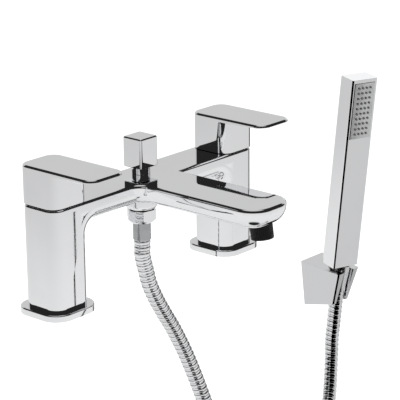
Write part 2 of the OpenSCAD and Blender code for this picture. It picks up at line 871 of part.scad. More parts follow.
module wall_bracket() {
  grow = 2 * running_gap;
  color("gainsboro") difference() {
    intersection() {
      translate([handset_foot[0] - bracket_w, 0, 0]) rotate([90, 0, 90]) linear_extrude(2 * bracket_w) bracket_side();
      translate([handset_foot[0], wall_y, 0]) rotate([90, 0, 0]) linear_extrude(2 * bracket_reach) bracket_front();
    }
    at_cradle() translate([0, 0, -cone_neck - cone_l])
      cylinder(d1 = cone_foot_d + grow, d2 = cone_top_d + grow, h = cone_l);
    at_cradle() translate([0, 0, -cone_neck]) cylinder(d = cone_top_d + grow, h = cone_neck);
    at_cradle() translate([0, 0, -2 * bracket_h]) cylinder(d = cone_foot_d + grow, h = 2 * bracket_h - cone_neck);
    at_cradle() translate([-slot_w / 2, -2 * prong_reach, -2 * bracket_h])
      cube([slot_w, 2 * prong_reach, 2 * bracket_h]);
    at_wall_plate() translate([0, over - wall_plate_t / 2 - running_gap / 2, 0])
      cube([wall_plate_w + grow, wall_plate_t + running_gap + 2 * over, wall_plate_h + grow], center = true);
    at_wall_plate() translate([0, -wall_plate_t / 2, -bracket_h]) cylinder(d = lock_d + fit_gap, h = bracket_h);
  }
}

module wall_plate() {
  color("silver") at_wall_plate() difference() {
    translate([0, -wall_plate_t / 2, 0]) cube([wall_plate_w, wall_plate_t, wall_plate_h], center = true);
    for (z = [-1, 1])
      translate([0, over, z * wall_hole_pitch / 2]) rotate([90, 0, 0])
        cylinder(d = wall_hole_d, h = wall_plate_t + 2 * over);
  }
}

module bracket_grub_screw() {
  color("dimgray") at_wall_plate()
    translate([0, -wall_plate_t / 2, -wall_plate_h / 2 - fit_gap - lock_l]) difference() {
      cylinder(d = lock_d, h = lock_l);
      translate([0, 0, -lock_l / 2]) hexagon(lock_d / 2, lock_l);
    }
}

mixer_body();
flange(-1);  // hot_flange
flange(1);  // cold_flange
flange_seal(-1);  // hot_flange_seal
flange_seal(1);  // cold_flange_seal
seat_seal(-1);  // hot_seat_seal
seat_seal(1);  // cold_seat_seal
half_disc(-1, disc_z);  // hot_fixed_disc
half_disc(1, disc_z);  // cold_fixed_disc
half_disc(-1, moving_z);  // hot_moving_disc
half_disc(1, moving_z);  // cold_moving_disc
cartridge(-1);  // hot_cartridge
cartridge(1);  // cold_cartridge
spindle(-1);  // hot_spindle
spindle(1);  // cold_spindle
handle(-1);  // hot_handle
handle(1);  // cold_handle
grub_screw(-1);  // hot_grub_screw
grub_screw(1);  // cold_grub_screw
diverter_bush();
diverter_seal();
diverter_spindle();
diverter_washer();
diverter_knob();
aerator_housing();
aerator_insert();
aerator_seal();
outlet_nipple();
hose_washer();
hose_nut();
hose_collar();
hose_drop();
hose_coil();
hose_rise();
hose_tie();
cone_nut();
hose_swivel();
cone_washer();
handset_spigot();
handset_body();
spray_plate();
spray_nozzles();
wall_bracket();
wall_plate();
bracket_grub_screw();
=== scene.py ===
# Looks of a two-pillar bath shower mixer with its hose, handset and wall bracket

import logging
import math
from dataclasses import dataclass, field
from enum import Enum
from typing import Callable, Optional

import bmesh
import bpy
from mathutils import Matrix, Vector


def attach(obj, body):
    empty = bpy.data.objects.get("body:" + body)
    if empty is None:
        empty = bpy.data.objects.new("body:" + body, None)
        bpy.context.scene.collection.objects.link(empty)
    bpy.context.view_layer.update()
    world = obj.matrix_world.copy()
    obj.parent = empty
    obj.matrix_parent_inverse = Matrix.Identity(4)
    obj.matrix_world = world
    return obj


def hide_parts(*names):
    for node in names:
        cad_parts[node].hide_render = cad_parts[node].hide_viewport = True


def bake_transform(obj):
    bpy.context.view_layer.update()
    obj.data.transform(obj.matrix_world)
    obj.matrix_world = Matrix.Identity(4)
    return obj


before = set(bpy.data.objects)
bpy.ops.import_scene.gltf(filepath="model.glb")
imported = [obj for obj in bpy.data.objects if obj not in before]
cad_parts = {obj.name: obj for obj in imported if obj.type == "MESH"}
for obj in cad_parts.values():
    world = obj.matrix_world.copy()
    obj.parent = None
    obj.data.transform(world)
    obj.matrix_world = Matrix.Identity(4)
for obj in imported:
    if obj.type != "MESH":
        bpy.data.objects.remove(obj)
LOG = logging.getLogger("bath_shower_mixer")
MM = 0.001
WHITE = (1.0, 1.0, 1.0, 1.0)


def grey(level: float) -> tuple[float, float, float, float]:
    """Give an even grey.

    Args:
        level: Its brightness from 0 to 1.

    Returns:
        The colour with full alpha.
    """
    return level, level, level, 1.0


class Part(Enum):
    """Bodies that the pieces move with."""

    MIXER = "mixer"
    HOT_LEVER = "hot_lever"
    COLD_LEVER = "cold_lever"
    DIVERTER = "diverter"
    HOSE_END = "hose_end"
    HANDSET = "handset"


class Slot(Enum):
    """Material slots of the record."""

    CHROME = "chrome"
    HOSE = "hose_chrome"
    SATIN = "satin_steel"
    BRASS = "brass"
    CERAMIC = "ceramic"
    RUBBER = "rubber"
    PLASTIC = "black_plastic"


@dataclass
class NodeBench:
    """A node tree with short ways to add and join nodes."""

    tree: bpy.types.NodeTree

    def add(self, kind: str, **settings: object) -> bpy.types.Node:
        """Add a node and set its properties.

        Args:
            kind: The node's type name.
            settings: Property values by name.

        Returns:
            The new node.
        """
        node = self.tree.nodes.new(kind)
        for name, value in settings.items():
            setattr(node, name, value)
        return node

    def join(self, source: bpy.types.NodeSocket, target: bpy.types.NodeSocket) -> None:
        """Link one socket to another.

        Args:
            source: The socket to read.
            target: The socket to feed.
        """
        self.tree.links.new(source, target)

    def math(self, operation: str, first: object, second: object = 0.0) -> bpy.types.NodeSocket:
        """Add a math node.

        Args:
            operation: The operation's name.
            first: A socket or a number.
            second: A socket or a number.

        Returns:
            The result's socket.
        """
        node = self.add("ShaderNodeMath", operation=operation)
        for socket, value in zip(node.inputs, (first, second)):
            if isinstance(value, bpy.types.NodeSocket):
                self.join(value, socket)
            else:
                socket.default_value = value
        return node.outputs[0]

    def ramp(self, value: bpy.types.NodeSocket, low: float, high: float) -> bpy.types.NodeSocket:
        """Turn a value into a soft step from 0 at low to 1 at high.

        Args:
            value: The socket to read.
            low: The value that gives 0.
            high: The value that gives 1.

        Returns:
            The result's socket.
        """
        node = self.add("ShaderNodeMapRange", interpolation_type="SMOOTHSTEP")
        self.join(value, node.inputs["Value"])
        node.inputs["From Min"].default_value = low
        node.inputs["From Max"].default_value = high
        return node.outputs["Result"]


class EffectLibrary:
    """Surface effects that several finishes share, each a node group."""

    PATCH_EDGE = (0.45, 0.75)
    DOT_EDGE = (0.22, 0.1)
    DOT_SCALE = 6.0
    DOT_SHARE = 0.4
    LINE_TURN = (0.3, 0.5, 0.7)

    def __init__(self) -> None:
        """Build every group once."""
        self.marks = self._marks()
        self.scratches = self._scratches()
        self.grain = self._grain()

    @staticmethod
    def _start(name: str, inputs: dict[str, float], output: str) -> NodeBench:
        """Make an empty group.

        Args:
            name: The group's name.
            inputs: Default values of its inputs.
            output: The name of its output.

        Returns:
            The group's bench.
        """
        tree = bpy.data.node_groups.new(name, "ShaderNodeTree")
        for label, value in inputs.items():
            socket = tree.interface.new_socket(label, in_out="INPUT", socket_type="NodeSocketFloat")
            socket.default_value = value
        tree.interface.new_socket(output, in_out="OUTPUT", socket_type="NodeSocketFloat")
        return NodeBench(tree)

    def _marks(self) -> bpy.types.NodeTree:
        """Soft patches left by handling and dried water."""
        bench = self._start("handling_marks", {"Scale": 40.0, "Amount": 0.5}, "Mask")
        source = bench.add("NodeGroupInput")
        place = bench.add("ShaderNodeTexCoord")
        broad = bench.add("ShaderNodeTexNoise")
        broad.inputs["Detail"].default_value = 4.0
        spots = bench.add("ShaderNodeTexVoronoi")
        bench.join(place.outputs["Object"], broad.inputs["Vector"])
        bench.join(place.outputs["Object"], spots.inputs["Vector"])
        bench.join(source.outputs["Scale"], broad.inputs["Scale"])
        bench.join(bench.math("MULTIPLY", source.outputs["Scale"], self.DOT_SCALE), spots.inputs["Scale"])
        patch = bench.ramp(broad.outputs["Fac"], *self.PATCH_EDGE)
        dots = bench.ramp(spots.outputs["Distance"], *self.DOT_EDGE)
        both = bench.math("MAXIMUM", patch, bench.math("MULTIPLY", dots, self.DOT_SHARE))
        sink = bench.add("NodeGroupOutput")
        bench.join(bench.math("MULTIPLY", both, source.outputs["Amount"]), sink.inputs["Mask"])
        return bench.tree

    def _scratches(self) -> bpy.types.NodeTree:
        """Hairline polishing marks along one direction."""
        bench = self._start("polishing_lines", {"Scale": 60.0, "Stretch": 20.0}, "Height")
        source = bench.add("NodeGroupInput")
        place = bench.add("ShaderNodeTexCoord")
        turn = bench.add("ShaderNodeMapping")
        turn.inputs["Rotation"].default_value = self.LINE_TURN
        squeeze = bench.add("ShaderNodeCombineXYZ")
        squeeze.inputs["X"].default_value = 1.0
        squeeze.inputs["Y"].default_value = 1.0
        noise = bench.add("ShaderNodeTexNoise")
        noise.inputs["Detail"].default_value = 2.0
        bench.join(place.outputs["Object"], turn.inputs["Vector"])
        bench.join(source.outputs["Stretch"], squeeze.inputs["Z"])
        bench.join(squeeze.outputs["Vector"], turn.inputs["Scale"])
        bench.join(turn.outputs["Vector"], noise.inputs["Vector"])
        bench.join(source.outputs["Scale"], noise.inputs["Scale"])
        sink = bench.add("NodeGroupOutput")
        bench.join(noise.outputs["Fac"], sink.inputs["Height"])
        return bench.tree

    def _grain(self) -> bpy.types.NodeTree:
        """Fine moulded or machined grain."""
        bench = self._start("moulded_grain", {"Scale": 900.0, "Depth": 1.0}, "Height")
        source = bench.add("NodeGroupInput")
        place = bench.add("ShaderNodeTexCoord")
        cells = bench.add("ShaderNodeTexVoronoi")
        cloud = bench.add("ShaderNodeTexNoise")
        for texture in (cells, cloud):
            bench.join(place.outputs["Object"], texture.inputs["Vector"])
            bench.join(source.outputs["Scale"], texture.inputs["Scale"])
        both = bench.math("ADD", cells.outputs["Distance"], cloud.outputs["Fac"])
        sink = bench.add("NodeGroupOutput")
        bench.join(bench.math("MULTIPLY", both, source.outputs["Depth"]), sink.inputs["Height"])
        return bench.tree


@dataclass(frozen=True)
class Finish:
    """One surface finish, written as a procedural material."""

    name: str
    slot: Slot
    colour: tuple[float, float, float]
    worn: tuple[float, float, float]
    metal: float
    rough: tuple[float, float]
    marks: tuple[float, float]
    relief: str
    relief_scale: float
    relief_depth: float
    shine: float = 0.5
    relief_height: float = 0.1 * MM

    def material(self, effects: EffectLibrary) -> bpy.types.Material:
        """Write the material.

        Args:
            effects: The shared effects.

        Returns:
            The material.
        """
        material = bpy.data.materials.new(self.name)
        material.use_nodes = True
        bench = NodeBench(material.node_tree)
        shader = material.node_tree.nodes["Principled BSDF"]
        marks = bench.add("ShaderNodeGroup", node_tree=effects.marks)
        marks.inputs["Scale"].default_value = self.marks[0]
        marks.inputs["Amount"].default_value = self.marks[1]
        tint = bench.add("ShaderNodeMix", data_type="RGBA")
        tint.inputs["A"].default_value = (*self.colour, 1.0)
        tint.inputs["B"].default_value = (*self.worn, 1.0)
        bench.join(marks.outputs["Mask"], tint.inputs["Factor"])
        bench.join(tint.outputs["Result"], shader.inputs["Base Color"])
        span = self.rough[1] - self.rough[0]
        rough = bench.math("MULTIPLY_ADD", marks.outputs["Mask"], span)
        rough.node.inputs[2].default_value = self.rough[0]
        bench.join(rough, shader.inputs["Roughness"])
        relief = bench.add("ShaderNodeGroup", node_tree=getattr(effects, self.relief))
        relief.inputs["Scale"].default_value = self.relief_scale
        bump = bench.add("ShaderNodeBump")
        bump.inputs["Strength"].default_value = self.relief_depth
        bump.inputs["Distance"].default_value = self.relief_height
        bench.join(relief.outputs["Height"], bump.inputs["Height"])
        bench.join(bump.outputs["Normal"], shader.inputs["Normal"])
        shader.inputs["Metallic"].default_value = self.metal
        shader.inputs["Specular IOR Level"].default_value = self.shine
        return material


CHROME = Finish("polished_chrome", Slot.CHROME, (0.9, 0.905, 0.915), (0.86, 0.865, 0.875), 1.0,
                (0.02, 0.05), (35.0, 0.5), "scratches", 60.0, 0.01)
HOSE_CHROME = Finish("hose_chrome", Slot.HOSE, (0.86, 0.865, 0.875), (0.74, 0.745, 0.755), 1.0,
                     (0.05, 0.14), (90.0, 0.7), "scratches", 120.0, 0.03)
BRUSHED = Finish("brushed_chrome", Slot.CHROME, (0.82, 0.825, 0.83), (0.72, 0.725, 0.73), 1.0,
                 (0.24, 0.36), (120.0, 0.6), "grain", 1600.0, 0.2)
SATIN = Finish("satin_steel", Slot.SATIN, (0.45, 0.455, 0.46), (0.36, 0.365, 0.37), 1.0,
               (0.16, 0.26), (120.0, 0.6), "scratches", 300.0, 0.15)
SPRAY_PLATE = Finish("bead_blasted_plate", Slot.SATIN, (0.82, 0.825, 0.83), (0.7, 0.705, 0.71), 1.0,
                     (0.34, 0.46), (150.0, 0.6), "grain", 1800.0, 0.12)
BRASS = Finish("machined_brass", Slot.BRASS, (0.72, 0.52, 0.24), (0.55, 0.37, 0.16), 1.0,
               (0.22, 0.4), (140.0, 0.7), "scratches", 260.0, 0.12)
CERAMIC = Finish("lapped_ceramic", Slot.CERAMIC, (0.86, 0.84, 0.78), (0.78, 0.75, 0.68), 0.0,
                 (0.12, 0.25), (160.0, 0.5), "grain", 2500.0, 0.05)
RUBBER = Finish("soft_rubber", Slot.RUBBER, (0.028, 0.028, 0.03), (0.06, 0.06, 0.062), 0.0,
                (0.55, 0.75), (150.0, 0.7), "grain", 1800.0, 0.3)
PLASTIC = Finish("black_plastic", Slot.PLASTIC, (0.012, 0.012, 0.013), (0.03, 0.03, 0.032), 0.0,
                 (0.3, 0.5), (120.0, 0.6), "grain", 1400.0, 0.25)
# Glossy near-black for the aerator sleeve: painted dark reflection, standing in for chrome that mirrors dark
# under the spout.
SLEEVE = Finish("gloss_black_sleeve_painted_reflection", Slot.PLASTIC, (0.005, 0.005, 0.0055), (0.011, 0.011, 0.012), 0.0,
                (0.16, 0.3), (120.0, 0.6), "grain", 1400.0, 0.1, shine=0.16)
# Near-black finish for the handles' undersides: painted shade, which the body's rounded top edge mirrors as a
# dark band.
FOOT_SHADE = Finish("painted_foot_shade", Slot.CHROME, (0.012, 0.012, 0.013), (0.03, 0.03, 0.032), 0.0,
                  (0.6, 0.8), (150.0, 0.7), "grain", 1800.0, 0.3, shine=0.1)
NOZZLE = Finish("grey_silicone", Slot.RUBBER, (0.13, 0.13, 0.135), (0.2, 0.2, 0.205), 0.0,
                (0.35, 0.5), (150.0, 0.7), "grain", 1800.0, 0.2)


class Paintbox:
    """Every finish as a material, made when it is first asked for."""

    def __init__(self) -> None:
        """Start with the shared effects and no material."""
        self.effects = EffectLibrary()
        self.made: dict[str, bpy.types.Material] = {}

    def get(self, finish: Finish) -> bpy.types.Material:
        """Give the material of a finish.

        Args:
            finish: The finish.

        Returns:
            Its material, made once.
        """
        if finish.name not in self.made:
            self.made[finish.name] = finish.material(self.effects)
        return self.made[finish.name]

    def paint(self, piece: bpy.types.Object, finish: Finish) -> None:
        """Put one finish all over a piece.

        Args:
            piece: The piece.
            finish: The finish.
        """
        piece.data.materials.clear()
        piece.data.materials.append(self.get(finish))


def place_piece(shape: bmesh.types.BMesh, name: str, sharp: float = 35.0) -> bpy.types.Object:
    """Turn a shape into a smooth-shaded object with crisp edges.

    Args:
        shape: The shape, which is freed.
        name: The object's name.
        sharp: The angle in degrees past which an edge stays crisp.

    Returns:
        The object.
    """
    for face in shape.faces:
        face.smooth = True
    for edge in shape.edges:
        edge.smooth = edge.calc_face_angle(math.pi) < math.radians(sharp)
    mesh = bpy.data.meshes.new(name)
    shape.to_mesh(mesh)
    shape.free()
    piece = bpy.data.objects.new(name, mesh)
    bpy.context.scene.collection.objects.link(piece)
    return piece


@dataclass(frozen=True)
class Rounding:
    """One radius in millimetres, and a test for the points of the edges that it softens."""

    radius: float
    picks: Optional[Callable[[Vector], bool]] = None
    steps: int = 4


@dataclass
class PlatedShell:
    """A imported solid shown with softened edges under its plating."""

    WELD = 0.002 * MM
    FLAT_DEGREES = 0.3
    FOOT_SLOPE = -0.95
    FOOT_BAND = 0.1 * MM

    node: str
    part: Part
    roundings: tuple[Rounding, ...]
    finish: Finish = CHROME
    sharp: float = 30.0
    halved_at: Optional[float] = None
    # Finish of painted shade for the lowest downward face, if any.
    foot: Optional[Finish] = None

    def build(self, paint: Paintbox) -> bpy.types.Object:
        """Copy the solid, round its edges and put it in place of the solid.

        Args:
            paint: The finishes.

        Returns:
            The shown piece.
        """
        shape = bmesh.new()
        shape.from_mesh(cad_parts[self.node].data)
        bmesh.ops.remove_doubles(shape, verts=shape.verts[:], dist=self.WELD)
        self._simplify(shape)
        for rounding in self.roundings:
            bmesh.ops.bevel(
                shape, geom=self._crisp(shape, rounding), offset=rounding.radius * MM, offset_type="OFFSET",
                segments=rounding.steps, profile=0.5, affect="EDGES", clamp_overlap=True, material=-1
            )
        piece = place_piece(shape, f"{self.node}_shell")
        flat = piece.modifiers.new("flat_faces", "WEIGHTED_NORMAL")
        flat.keep_sharp = True
        flat.weight = 100
        paint.paint(piece, self.finish)
        if self.foot is not None:
            self._shade_foot(piece, paint.get(self.foot))
        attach(piece, self.part.value)
        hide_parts(self.node)
        return piece

    def _shade_foot(self, piece: bpy.types.Object, material: bpy.types.Material) -> None:
        """Paint the lowest face, which stands over the piece below, near-black as painted shade, so that
        rounded edges under it mirror a dark band.

        Args:
            piece: The shown piece.
            material: The foot's material.
        """
        piece.data.materials.append(material)
        lowest = min(vert.co.z for vert in piece.data.vertices)
        for face in piece.data.polygons:
            if face.normal.z < self.FOOT_SLOPE and face.center.z < lowest + self.FOOT_BAND:
                face.material_index = 1

    def _simplify(self, shape: bmesh.types.BMesh) -> None:
        """Join the facets of flat faces, and halve faces with holes along one level line.

        Args:
            shape: The merged solid.
        """
        line: set[object] = set()
        if self.halved_at is not None:
            cut = bmesh.ops.bisect_plane(
                shape, geom=shape.verts[:] + shape.edges[:] + shape.faces[:], dist=self.WELD,
                plane_co=(0.0, self.halved_at * MM, 0.0), plane_no=(0.0, 1.0, 0.0)
            )
            line.update(cut["geom_cut"])
        bmesh.ops.dissolve_limit(
            shape, angle_limit=math.radians(self.FLAT_DEGREES),
            verts=[vert for vert in shape.verts if vert not in line],
            edges=[edge for edge in shape.edges if edge not in line]
        )

    def _crisp(self, shape: bmesh.types.BMesh, rounding: Rounding) -> list[bmesh.types.BMEdge]:
        """Pick the edges to round.

        Args:
            shape: The merged solid.
            rounding: The rounding that asks for edges.

        Returns:
            The edges.
        """
        limit = math.radians(self.sharp)
        chosen = []
        for edge in shape.edges:
            if len(edge.link_faces) != 2 or edge.calc_face_angle() < limit:
                continue
            if rounding.picks is None or all(rounding.picks(vert.co / MM) for vert in edge.verts):
                chosen.append(edge)
        return chosen


@dataclass
class FlutedSleeve:
    """Aerator sleeve with gripping flutes, coloured glossy black as a painted dark reflection, in
    millimetres.
    """

    top: tuple[float, float, float] = (0.0, -110.5, 71.75)
    tilt: float = 8.0
    length: float = 18.0
    radius: float = 8.2
    bore: float = 7.0
    chamfer: float = 0.4
    lip: float = 1.6
    flutes: int = 40
    flute_steps: int = 8
    depth: float = 0.25

    def build(self, paint: Paintbox) -> bpy.types.Object:
        """Spin the sleeve's section, press the flutes in and tilt it under the spout.

        Args:
            paint: The finishes.

        Returns:
            The sleeve.
        """
        low = -self.length
        rim = self.radius - self.chamfer
        section = [
            (self.bore, low), (rim, low), (self.radius, low + self.chamfer), (self.radius, low + self.lip),
            (self.radius, low + 2 * self.lip), (self.radius, -self.lip), (self.radius, 0.0), (self.bore, 0.0),
        ]
        shape = bmesh.new()
        points = [shape.verts.new((r * MM, 0.0, z * MM)) for r, z in section]
        edges = [shape.edges.new(pair) for pair in zip(points, points[1:] + points[:1])]
        bmesh.ops.spin(
            shape, geom=points + edges, cent=(0, 0, 0), axis=(0, 0, 1), dvec=(0, 0, 0),
            angle=math.tau, steps=self.flute_steps * self.flutes, use_merge=True, use_duplicate=False
        )
        for vert in shape.verts:
            self._flute(vert)
        bmesh.ops.recalc_face_normals(shape, faces=shape.faces[:])
        turn = Matrix.Rotation(math.radians(-self.tilt), 4, "X")
        place = Matrix.Translation(Vector(self.top) * MM) @ turn
        bmesh.ops.transform(shape, matrix=place, verts=shape.verts[:])
        sleeve = place_piece(shape, "aerator_sleeve")
        # The sleeve's painted-dark black is kept out of other surfaces' reflections.
        sleeve.visible_glossy = False
        paint.paint(sleeve, SLEEVE)
        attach(sleeve, Part.MIXER.value)
        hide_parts("aerator_housing")
        return sleeve

    def _flute(self, vert: bmesh.types.BMVert) -> None:
        """Press a point of the wall in where a flute passes.

        Args:
            vert: The point.
        """
        if not -self.length + 1.5 * self.lip < vert.co.z / MM < -0.5 * self.lip:
            return
        wave = 0.5 - 0.5 * math.cos(self.flutes * math.atan2(vert.co.y, vert.co.x))
        share = 1.0 - self.depth * wave / self.radius
        vert.co.x *= share
        vert.co.y *= share


@dataclass
class HoseTie:
    """Toothed strap that holds two stacked turns of the hose, in millimetres."""

    inner: tuple[float, float] = (13.7, 26.9)
    corner: float = 3.0
    corner_steps: int = 6
    strap: float = 1.2
    width: float = 8.0
    tooth: float = 0.9
    tooth_depth: float = 0.3
    head: tuple[float, float, float] = (3.6, 8.0, 9.0)
    tail: tuple[float, float, float] = (1.2, 13.0, 6.0)
    soft: float = 0.7
    soft_share: float = 0.3
    sharp: float = 25.0

    def build(self, paint: Paintbox, spot: Vector, angle: float) -> bpy.types.Object:
        """Run the strap round the hose and put a head and a cut tail on its outer side.

        Args:
            paint: The finishes.
            spot: The middle of the two turns.
            angle: The turn of the coil at that place, in radians.

        Returns:
            The tie.
        """
        shape = bmesh.new()
        rows = []
        for i, (point, out) in enumerate(self._walk()):
            thick = self.strap - self.tooth_depth * (i % 2)
            outer = point + thick * out
            half = self.width / 2
            ring = [(*point, -half), (*outer, -half), (*outer, half), (*point, half)]
            rows.append([shape.verts.new(corner) for corner in ring])
        for here, ahead in zip(rows, rows[1:] + rows[:1]):
            for k in range(4):
                shape.faces.new((here[k], here[(k + 1) % 4], ahead[(k + 1) % 4], ahead[k]))
        face = self.inner[0] / 2 + self.strap
        self._block(shape, self.head, (face + self.head[0] / 2 - self.tooth_depth, 0.0, 0.0))
        self._block(shape, self.tail, (face + self.head[0] / 2, self.tail[1] / 2, 0.0))
        bmesh.ops.recalc_face_normals(shape, faces=shape.faces[:])
        outward = Vector((math.sin(angle), math.cos(angle), 0.0))
        along = Vector((math.cos(angle), -math.sin(angle), 0.0))
        turn = Matrix((outward, Vector((0.0, 0.0, 1.0)), along)).transposed().to_4x4()
        place = Matrix.Translation(spot * MM) @ turn @ Matrix.Scale(MM, 4)
        bmesh.ops.transform(shape, matrix=place, verts=shape.verts[:])
        tie = place_piece(shape, "hose_strap", self.sharp)
        paint.paint(tie, PLASTIC)
        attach(tie, Part.MIXER.value)
        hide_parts("hose_tie")
        return tie

    def _walk(self) -> list[tuple[Vector, Vector]]:
        """Walk round the strap's inner face.

        Returns:
            Points in the strap's plane, each with its outward direction.
        """
        walk: list[tuple[Vector, Vector]] = []
        sides = ((1, 1), (-1, 1), (-1, -1), (1, -1))
        for quarter, (across, up) in enumerate(sides):
            reach = Vector((across * self.inner[0], up * self.inner[1])) / 2
            middle = reach - self.corner * Vector((across, up))
            for k in range(self.corner_steps + 1):
                turn = math.pi / 2 * (quarter + k / self.corner_steps)
                out = Vector((math.cos(turn), math.sin(turn)))
                walk.append((middle + self.corner * out, out))
            run = self.inner[quarter % 2] - 2 * self.corner
            steps = 2 * round(run / self.tooth / 2) + 1
            heading = Vector((-math.cos(turn - math.pi / 2), -math.sin(turn - math.pi / 2)))
            start = walk[-1][0]
            walk.extend((start + heading * run * j / (steps + 1), out) for j in range(1, steps + 1))
        return walk

    def _block(
        self, shape: bmesh.types.BMesh, size: tuple[float, float, float], middle: tuple[float, float, float]
    ) -> None:
        """Add a block with softened edges.

        Args:
            shape: The shape to add to.
            size: The block's three sides.
            middle: The block's middle.
        """
        place = Matrix.LocRotScale(Vector(middle), None, Vector(size))
        made = bmesh.ops.create_cube(shape, size=1.0, matrix=place)
        edges = list({edge for vert in made["verts"] for edge in vert.link_edges})
        radius = min(self.soft, self.soft_share * min(size))
        bmesh.ops.bevel(
            shape, geom=edges, offset=radius, offset_type="OFFSET", segments=3, profile=0.5,
            affect="EDGES", clamp_overlap=True, material=-1
        )


@dataclass
class ShowerHose:
    """Ribbed metal hose from the outlet's collar to the handset's cone nut, in millimetres."""

    WELD = 0.001 * MM

    diameter: float = 12.5
    pitch: float = 4.6
    groove: float = 1.0
    slit: float = 0.1
    band: float = 0.2
    band_drop: float = 0.3
    swell: float = 0.22
    crown: int = 6
    sides: int = 20
    sharp: float = 60.0
    lay_z: float = -228.75
    coil_center: tuple[float, float] = (190.0, -111.5)
    coil_radius: float = 81.5
    coil_turns: float = 690.0 / 360.0
    coil_gap: float = 13.5
    coil_layer: float = 13.2
    coil_steps: int = 96
    climb: float = 0.5
    cradle_foot: tuple[float, float, float] = (280.0, 29.5, -72.0)
    cradle_lean: float = 6.0
    cradle_depths: tuple[float, ...] = (72.0, 61.0, 49.0, 37.0, 25.3)
    drop: list[tuple[float, float, float]] = field(default_factory=lambda: [
        (0, 1.5, 29.4), (0, 1.5, 22.9), (0, 1.5, 16.4), (3, 1.5, 5), (7, 1.5, -8), (14, 1.5, -22),
        (22, 1.5, -35), (33, 1.5, -52), (44, 0.5, -73), (53, -2, -96), (60, -6, -120), (66, -11, -144),
        (73, -17, -168), (83, -23, -190), (99, -27.5, -209), (121, -30, -222.5), (145, -30, -228.75),
        (161, -30, -228.75), (177.5, -30, -228.75),
    ])
    rise: list[tuple[float, float, float]] = field(default_factory=lambda: [
        (188, -18, -215.5), (204, -9, -215.5), (218, 0, -215.5), (230, 7, -214), (242, 14, -210),
        (252, 20.5, -203.5), (262, 26, -194), (269.5, 30.5, -183.5), (275, 34, -171), (279, 36.5, -157.5),
    ])

    def cradle_point(self, depth: float) -> Vector:
        """Give a point on the cradle's axis, below the handset's foot.

        Args:
            depth: Its distance from the foot.

        Returns:
            The point in millimetres.
        """
        lean = math.radians(self.cradle_lean)
        return Vector(self.cradle_foot) + depth * Vector((0.0, math.sin(lean), -math.cos(lean)))

    def coil_point(self, turn: float) -> Vector:
        """Give a point of the coil, which spirals in, climbs a layer and spirals out again.

        Args:
            turn: Turns from the coil's start.

        Returns:
            The point in millimetres.
        """
        radius = self.coil_radius - self.coil_gap * min(turn, self.coil_turns - turn)
        rise = min(max((turn - self.coil_turns / 2) / self.climb + 0.5, 0.0), 1.0)
        lift = self.coil_layer * rise * rise * (3.0 - 2.0 * rise)
        angle = math.tau * turn
        x = self.coil_center[0] + radius * math.sin(angle)
        y = self.coil_center[1] + radius * math.cos(angle)
        return Vector((x, y, self.lay_z + lift))

    @staticmethod
    def smooth(points: list[Vector], samples: int = 10) -> list[Vector]:
        """Run a smooth curve through points.

        Args:
            points: The route's points.
            samples: Steps between two of them.

        Returns:
            The curve's points.
        """
        last = len(points) - 1
        curve = []
        for i in range(last):
            start, end = points[i], points[i + 1]
            leave = end - start if i == 0 else (end - points[i - 1]) / 2
            arrive = end - start if i == last - 1 else (points[i + 2] - start) / 2
            for k in range(samples):
                t = k / samples
                curve.append(
                    (2 * t**3 - 3 * t**2 + 1) * start + (t**3 - 2 * t**2 + t) * leave
                    + (3 * t**2 - 2 * t**3) * end + (t**3 - t**2) * arrive
                )
        return curve + [points[last]]

    def route(self) -> list[Vector]:
        """Join the drop, the coil and the rise into one line.

        Returns:
            The line's points in metres.
        """
        coil = [self.coil_point(self.coil_turns * i / self.coil_steps) for i in range(self.coil_steps + 1)]
        angle = math.tau * self.coil_turns
        along = self.diameter * Vector((math.cos(angle), -math.sin(angle), 0.0))
        tails = [coil[-1] + along, coil[-1] + 2 * along]
        ends = [self.cradle_point(depth) for depth in self.cradle_depths]
        rise = self.smooth(tails + [Vector(p) for p in self.rise] + ends)
        line = self.smooth([Vector(p) for p in self.drop]) + coil + rise
        return [point * MM for point in line]

    def build(self, paint: Paintbox) -> bpy.types.Object:
        """Spin a straight ribbed tube and lay it along the route.

        Args:
            paint: The finishes.

        Returns:
            The hose.
        """
        line = self.route()
        marks = [0.0]
        for a, b in zip(line, line[1:]):
            marks.append(marks[-1] + (b - a).length)
        total = marks[-1]
        shape = bmesh.new()
        profile = [shape.verts.new(point) for point in self._profile(total)]
        edges = [shape.edges.new(pair) for pair in zip(profile, profile[1:])]
        bmesh.ops.spin(
            shape, geom=profile + edges, cent=(0, 0, 0), axis=(0, 0, 1), dvec=(0, 0, 0),
            angle=math.tau, steps=self.sides, use_merge=True, use_duplicate=False
        )
        bmesh.ops.remove_doubles(shape, verts=shape.verts[:], dist=self.WELD)
        self._lay(shape, line, marks)
        bmesh.ops.recalc_face_normals(shape, faces=shape.faces[:])
        hose = place_piece(shape, "shower_hose", self.sharp)
        turn = (self.coil_turns - 1.0) / 2
        spot = (self.coil_point(turn) + self.coil_point(turn + 1.0)) / 2
        tie = HoseTie().build(paint, spot, math.tau * turn)
        paint.paint(hose, HOSE_CHROME)
        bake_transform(hose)
        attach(hose, Part.MIXER.value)
        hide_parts("hose_drop", "hose_coil", "hose_rise")
        LOG.info("hose %.3f m", total)
        return hose

